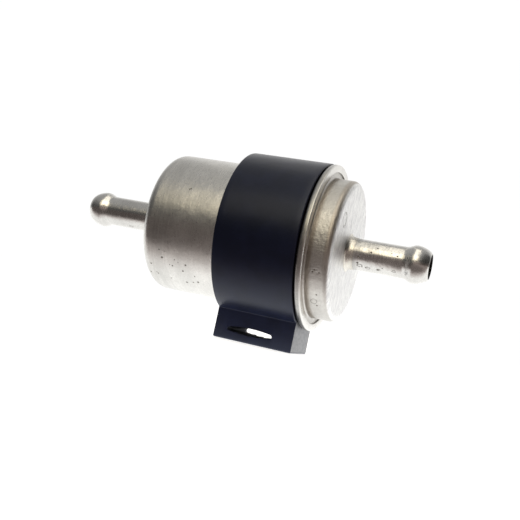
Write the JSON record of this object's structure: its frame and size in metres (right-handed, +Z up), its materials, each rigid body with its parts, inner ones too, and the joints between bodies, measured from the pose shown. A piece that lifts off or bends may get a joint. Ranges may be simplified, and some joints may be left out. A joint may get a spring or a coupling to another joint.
{
  "type": "fuel filter",
  "caption": "Inline fuel filter: round metal canister with a crimped end cap, beaded hose stubs at both ends and a rubber mounting sleeve with a slotted foot.",
  "frame": {"origin": "middle of the underside of the mounting sleeve's foot", "axes": "+X along the canister's axis from the inlet stub to the outlet stub, +Z up from the foot to the canister, +Y across"},
  "size_m": [0.0953, 0.043, 0.0492],
  "materials": {
    "canister": "satin tin-plated steel with fine turned marks",
    "stub": "plated steel, satin, slightly pitted",
    "braze": "plated braze fillet",
    "sleeve_rubber": "smooth satin black",
    "seal_rubber": "matte",
    "filter_paper": "resin-treated pleated paper",
    "inner_steel": "bright sheet",
    "strainer_mesh": "woven nylon mesh",
    "end_disc": "moulded",
    "potting": "cured adhesive",
    "spring_steel": "oiled spring wire"
  },
  "bodies": {
    "sleeve": {"mounting_sleeve": "sleeve_rubber"},
    "canister": {"canister_shell": "canister", "end_cap": "canister", "seam_gasket": "seal_rubber", "inlet_tube": "stub", "inlet_braze_ring": "braze", "outlet_tube": "stub", "outlet_braze_ring": "braze", "element_spring": "spring_steel"},
    "element": {"pleated_element": "filter_paper", "pleat_seam_clip": "inner_steel", "core_tube": "inner_steel", "strainer_sleeve": "strainer_mesh", "inlet_end_disc": "end_disc", "outlet_end_disc": "end_disc", "inlet_potting": "potting", "outlet_potting": "potting", "support_plate": "inner_steel", "outlet_gasket": "seal_rubber", "spring_seat": "inner_steel"}
  },
  "joints": [
    {"name": "canister_slide", "type": "slide", "parent": "sleeve", "child": "canister", "axis": [1, 0, 0], "range_m": [0, 0.018]},
    {"name": "element_float", "type": "slide", "parent": "canister", "child": "element", "axis": [-1, 0, 0], "range_m": [0, 0.0012], "stiffness_N_per_m": 1500, "springref_m": -0.0031, "deforming": ["element_spring"]}
  ]
}
